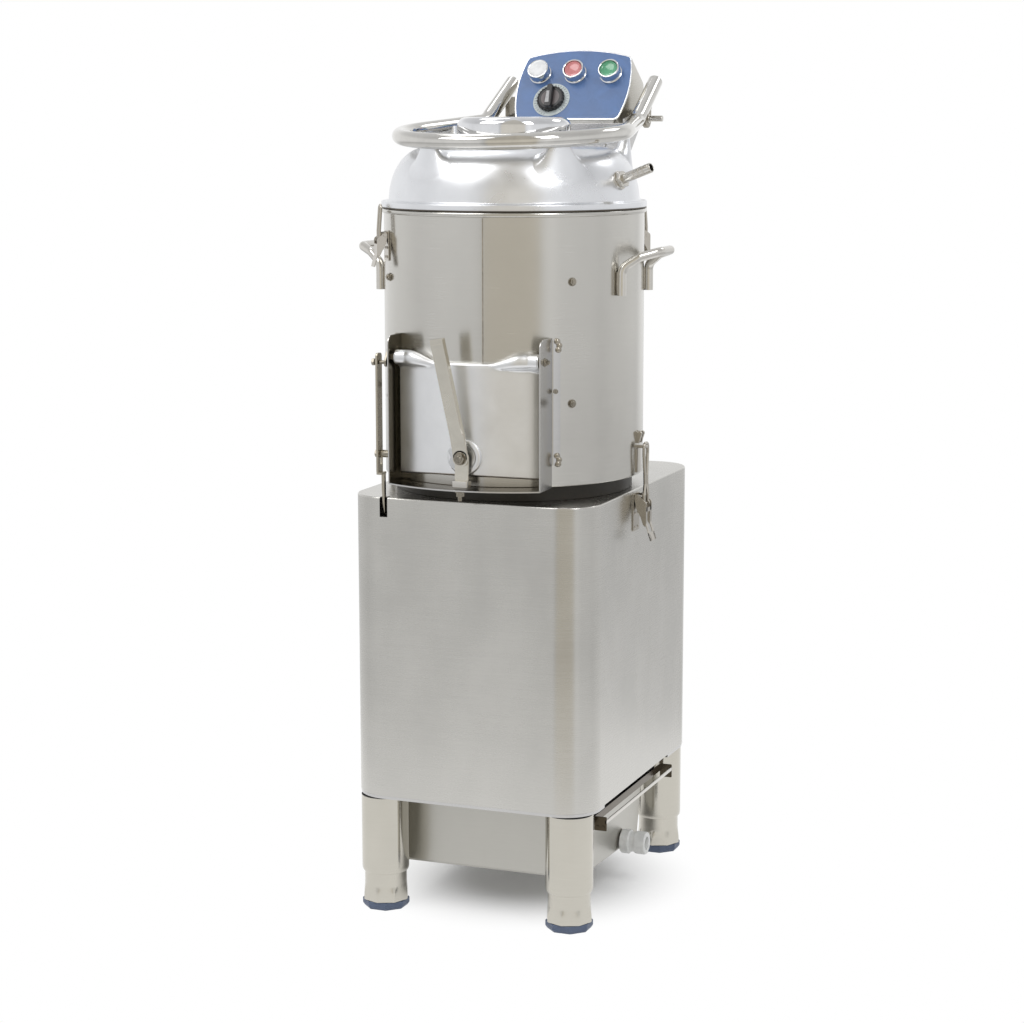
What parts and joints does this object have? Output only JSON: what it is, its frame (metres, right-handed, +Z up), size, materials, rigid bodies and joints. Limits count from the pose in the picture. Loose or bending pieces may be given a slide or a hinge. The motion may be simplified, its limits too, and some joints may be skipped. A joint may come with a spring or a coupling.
{
  "type": "electric potato peeler",
  "caption": "Commercial electric potato peeler: abrasive disc in a steel drum with clamped hinged lid and chute door, on a motor cabinet with legs and a pull-out filter tray.",
  "frame": {"origin": "the middle of the object's plan at floor level", "axes": "+Z up, the door side faces -Y, +X to the right seen from the front, where the tray pulls out"},
  "size_m": [0.438, 0.5446, 1.1554],
  "materials": {
    "brushed_steel": "brushed stainless sheet",
    "satin_steel": "satin stainless",
    "polished_steel": "polished stainless",
    "cast_aluminium": "polished casting",
    "bolt_steel": "plain machined steel",
    "dark_casting": "dark casting and plate",
    "motor_paint": "grey painted motor",
    "black_rubber": "black rubber",
    "pad_rubber": "blue rubber",
    "abrasive": "coarse bonded grit",
    "blue_panel": "blue front panel with a light edge",
    "dial_face": "plain light dial ring",
    "lamp_white": "white lens",
    "button_green": "green button",
    "button_red": "red button",
    "black_plastic": "black plastic",
    "drain_plastic": "white plastic fitting"
  },
  "bodies": {
    "stand": {"cabinet_shell": "brushed_steel", "under_frame": "satin_steel", "leg_sleeves": "satin_steel", "feet": "satin_steel", "foot_pads": "pad_rubber", "drum_deck": "dark_casting", "bearing_housing": "dark_casting", "shaft_bearings": "bolt_steel", "shaft_seal": "black_rubber", "motor_body": "motor_paint", "drive_belt": "black_rubber", "contactor": "black_plastic", "cable_gland": "black_plastic", "drum_shell": "brushed_steel", "drum_seat": "dark_casting", "drum_outlet": "satin_steel", "abrasive_liner": "abrasive", "drum_screws": "bolt_steel", "door_frame": "brushed_steel", "side_handle_left": "polished_steel", "side_handle_right": "polished_steel", "latch_bases": "polished_steel", "drum_catches": "satin_steel", "column": "brushed_steel", "hinge_brackets": "brushed_steel", "limit_switches": "black_plastic", "control_box": "brushed_steel", "fascia": "blue_panel", "pilot_lamp": "lamp_white", "button_bezels": "polished_steel", "timer_dial": "dial_face", "switch_gear": "black_plastic"},
    "lid": {"lid_dome": "cast_aluminium", "lid_cap": "cast_aluminium", "lid_ring": "polished_steel", "water_inlet": "polished_steel", "lid_gasket": "black_rubber"},
    "door": {"door_panel": "cast_aluminium", "door_bolts": "bolt_steel"},
    "lever": {"door_lever": "polished_steel", "lever_post": "polished_steel"},
    "interlock": {"interlock_rod": "polished_steel"},
    "tray": {"filter_tray": "brushed_steel", "drain_connector": "drain_plastic", "filter_basket": "brushed_steel"},
    "disc": {"abrasive_disc": "abrasive", "drive_shaft": "bolt_steel", "driven_pulley": "dark_casting"},
    "motor_rotor": {"motor_pulley": "dark_casting"},
    "timer": {"timer_knob": "black_plastic"},
    "start": {"start_button": "button_green"},
    "stop": {"stop_button": "button_red"},
    "lid_lever_front": {"lid_latch_lever_front": "polished_steel"},
    "lid_hook_front": {"lid_latch_hook_front": "polished_steel"},
    "lid_lever_rear": {"lid_latch_lever_rear": "polished_steel"},
    "lid_hook_rear": {"lid_latch_hook_rear": "polished_steel"},
    "base_lever_left": {"base_latch_lever_left": "polished_steel"},
    "base_hook_left": {"base_latch_hook_left": "polished_steel"},
    "base_lever_right": {"base_latch_lever_right": "polished_steel"},
    "base_hook_right": {"base_latch_hook_right": "polished_steel"}
  },
  "joints": [
    {"name": "lid_hinge", "type": "hinge", "parent": "stand", "child": "lid", "pos_m": [0, 0.20262, 1.059], "axis": [-1, 0, 0], "range_deg": [0, 80]},
    {"name": "door_swing", "type": "hinge", "parent": "stand", "child": "door", "pos_m": [0, -0.21338, 0.754], "axis": [-1, 0, 0], "range_deg": [0, 48]},
    {"name": "door_lever_turn", "type": "hinge", "parent": "door", "child": "lever", "pos_m": [0.004, -0.24538, 0.63], "axis": [0, 1, 0], "range_deg": [0, 95]},
    {"name": "interlock_lift", "type": "slide", "parent": "stand", "child": "interlock", "axis": [0, 0, 1], "range_m": [0, 0.011]},
    {"name": "tray_slide", "type": "slide", "parent": "stand", "child": "tray", "axis": [1, 0, 0], "range_m": [0, 0.25]},
    {"name": "disc_spin", "type": "hinge", "parent": "stand", "child": "disc", "pos_m": [0, -0.04738, 0.6], "axis": [0, 0, 1], "continuous": true},
    {"name": "motor_spin", "type": "hinge", "parent": "stand", "child": "motor_rotor", "pos_m": [0, 0.13262, 0.4], "axis": [0, 0, 1], "continuous": true},
    {"name": "timer_turn", "type": "hinge", "parent": "stand", "child": "timer", "pos_m": [-0.028, 0.17205, 1.08384], "axis": [0, 0.8387, -0.5446], "range_deg": [0, 300]},
    {"name": "start_press", "type": "slide", "parent": "stand", "child": "start", "axis": [0, 0.8387, -0.5446], "range_m": [0, 0.0035], "stiffness_N_per_m": 500},
    {"name": "stop_press", "type": "slide", "parent": "stand", "child": "stop", "axis": [0, 0.8387, -0.5446], "range_m": [0, 0.0035], "stiffness_N_per_m": 500},
    {"name": "lid_latch_front_turn", "type": "hinge", "parent": "stand", "child": "lid_lever_front", "pos_m": [-0.14184, -0.1582, 0.909], "axis": [-0.6157, 0.788, 0], "range_deg": [0, 100]},
    {"name": "lid_latch_front_link", "type": "hinge", "parent": "lid_lever_front", "child": "lid_hook_front", "pos_m": [-0.14696, -0.1622, 0.9025], "axis": [-0.6157, 0.788, 0], "range_deg": [-101, 0]},
    {"name": "lid_latch_rear_turn", "type": "hinge", "parent": "stand", "child": "lid_lever_rear", "pos_m": [0.14184, 0.06344, 0.909], "axis": [0.6157, -0.788, 0], "range_deg": [0, 100]},
    {"name": "lid_latch_rear_link", "type": "hinge", "parent": "lid_lever_rear", "child": "lid_hook_rear", "pos_m": [0.14696, 0.06744, 0.9025], "axis": [0.6157, -0.788, 0], "range_deg": [-101, 0]},
    {"name": "base_latch_left_turn", "type": "hinge", "parent": "stand", "child": "base_lever_left", "pos_m": [-0.1775, -0.03838, 0.559], "axis": [0, 1, 0], "range_deg": [0, 100]},
    {"name": "base_latch_left_link", "type": "hinge", "parent": "base_lever_left", "child": "base_hook_left", "pos_m": [-0.1855, -0.03838, 0.551], "axis": [0, 1, 0], "range_deg": [-101, 0]},
    {"name": "base_latch_right_turn", "type": "hinge", "parent": "stand", "child": "base_lever_right", "pos_m": [0.1775, -0.03838, 0.559], "axis": [0, -1, 0], "range_deg": [0, 100]},
    {"name": "base_latch_right_link", "type": "hinge", "parent": "base_lever_right", "child": "base_hook_right", "pos_m": [0.1855, -0.03838, 0.551], "axis": [0, -1, 0], "range_deg": [-101, 0]}
  ],
  "couplings": [
    {"joint": "interlock_lift", "follows": "door_swing", "m_per_rad": 0.013126},
    {"joint": "motor_spin", "follows": "disc_spin", "ratio": 3.7917},
    {"joint": "lid_latch_front_link", "follows": "lid_latch_front_turn", "ratio": -1},
    {"joint": "lid_latch_rear_link", "follows": "lid_latch_rear_turn", "ratio": -1},
    {"joint": "base_latch_left_link", "follows": "base_latch_left_turn", "ratio": -1},
    {"joint": "base_latch_right_link", "follows": "base_latch_right_turn", "ratio": -1}
  ]
}
